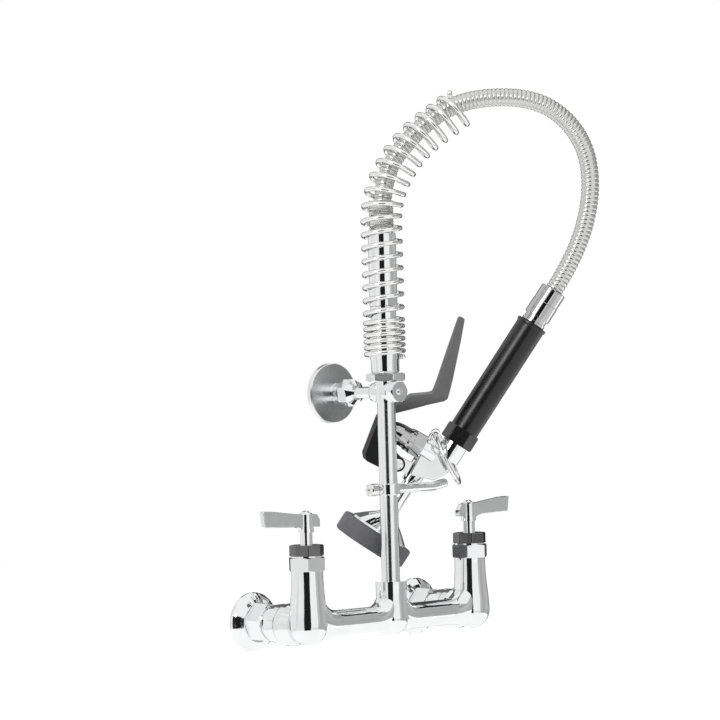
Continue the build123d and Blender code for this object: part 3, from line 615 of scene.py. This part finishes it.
class FAUCET_OT_overhead_spring(bpy.types.Operator):
    """Make the overhead spring from smooth round wire"""

    bl_idname = "faucet.overhead_spring"
    bl_label = "Overhead spring"

    def execute(self, context):
        points = spring_points()
        radii = np.full(len(points), sizes().wire_radius)
        spring = swept("round_wire_spring", points, radii, sizes().wire_sides)
        paint(spring, "spring_steel")
        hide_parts("overhead_spring")
        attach(spring, FIXED)
        dress("overhead_spring")
        return {"FINISHED"}


class FAUCET_OT_return_spring(bpy.types.Operator):
    """Give the spray valve's return spring a mesh of its own, and its finish"""

    bl_idname = "faucet.return_spring"
    bl_label = "Return spring"

    def execute(self, context):
        spring = frame["nodes"]["return_spring"]
        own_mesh(spring)
        dress("return_spring")
        return {"FINISHED"}


class FAUCET_OT_mixing_body(bpy.types.Operator):
    """Finish the mixing body's casting and the two unions that hold it to the wall"""

    bl_idname = "faucet.mixing_body"
    bl_label = "Mixing body"

    def execute(self, context):
        dress("faucet_body", *both_sides("wall_flange"), finish="cast_chrome")
        dress(*both_sides("coupling_nut", "coupling_washer"))
        return {"FINISHED"}


class FAUCET_OT_valves(bpy.types.Operator):
    """Finish the hot and cold valves with their handles"""

    bl_idname = "faucet.valves"
    bl_label = "Valves and handles"

    def execute(self, context):
        dress(*both_sides("handle"), finish="cast_chrome")
        dress(*both_sides("cartridge", "bonnet_nut", "packing_nut", "stem", "handle_screw"))
        return {"FINISHED"}


class FAUCET_OT_riser(bpy.types.Operator):
    """Finish the riser with its hook, and the fittings on top of it"""

    bl_idname = "faucet.riser"
    bl_label = "Riser"

    def execute(self, context):
        dress("riser_pipe", finish="soft_chrome")
        dress("riser_lock_nut", finish="satin_plate")
        dress("hook_clamp", "hook_screw", "spring_seat", "hose_sleeve", "guard_coil")
        return {"FINISHED"}


class FAUCET_OT_wall_bracket(bpy.types.Operator):
    """Finish the wall bracket"""

    bl_idname = "faucet.wall_bracket"
    bl_label = "Wall bracket"

    def execute(self, context):
        dress("bracket_tee", finish="cast_chrome")
        dress("bracket_flange", finish="satin_plate")
        dress("bracket_cap_nut", "bracket_rod", "bracket_lock_nut", "bracket_tube",
              "bracket_set_screw")
        return {"FINISHED"}


class FAUCET_OT_spray_valve(bpy.types.Operator):
    """Finish the spray valve with its grip, squeeze lever and hold-down ring"""

    bl_idname = "faucet.spray_valve"
    bl_label = "Spray valve"

    def execute(self, context):
        dress("valve_body", finish="cast_chrome")
        dress("valve_bonnet", finish="bonnet_chrome")
        dress("grip_tube", "grip_sleeve", "grip_nut", "valve_stem", "seat_washer",
              "squeeze_lever", "lever_screw", "hold_down_ring")
        return {"FINISHED"}


class FAUCET_OT_spray_face(bpy.types.Operator):
    """Finish the spray tube, bell, plate and bumper"""

    bl_idname = "faucet.spray_face"
    bl_label = "Spray face"

    def execute(self, context):
        dress("spray_tube", "spray_bell", "spray_plate", "spray_screw", "rubber_bumper")
        return {"FINISHED"}


class FAUCET_OT_stage(bpy.types.Operator):
    """Set up the plain studio: pale floor, soft lamps and the cards that the chrome shows"""

    bl_idname = "faucet.stage"
    bl_label = "Stage"

    def execute(self, context):
        context.scene.view_settings.view_transform = "Standard"
        light_world(context.scene)
        lay_floor()
        for card in CARDS:
            hang_card(*card)
        for lamp in LAMPS:
            hang_lamp(*lamp)
        return {"FINISHED"}


STEPS = (FAUCET_OT_camera, FAUCET_OT_hose, FAUCET_OT_overhead_spring, FAUCET_OT_return_spring,
         FAUCET_OT_mixing_body, FAUCET_OT_valves, FAUCET_OT_riser, FAUCET_OT_wall_bracket,
         FAUCET_OT_spray_valve, FAUCET_OT_spray_face, FAUCET_OT_stage)


class FAUCET_PT_panel(bpy.types.Panel):
    """Sizes, colours and the pieces of the faucet"""

    bl_idname = "FAUCET_PT_panel"
    bl_label = "Pre-rinse faucet"
    bl_space_type = "VIEW_3D"
    bl_region_type = "UI"
    bl_category = "Faucet"

    def draw(self, context):
        layout = self.layout
        for group in (context.scene.faucet_sizes, context.scene.faucet_colours):
            box = layout.box()
            for name in group.__annotations__:
                box.prop(group, name)
        for step in STEPS:
            layout.operator(step.bl_idname)


CLASSES = (FaucetSizes, FaucetColours, *STEPS, FAUCET_PT_panel)


def register():
    for cls in CLASSES:
        bpy.utils.register_class(cls)
    bpy.types.Scene.faucet_sizes = PointerProperty(type=FaucetSizes)
    bpy.types.Scene.faucet_colours = PointerProperty(type=FaucetColours)


def unregister():
    del bpy.types.Scene.faucet_colours
    del bpy.types.Scene.faucet_sizes
    for cls in reversed(CLASSES):
        bpy.utils.unregister_class(cls)


def main():
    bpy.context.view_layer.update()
    register()
    for step in STEPS:
        group, name = step.bl_idname.split(".")
        getattr(getattr(bpy.ops, group), name)()


if __name__ == "__main__":
    main()
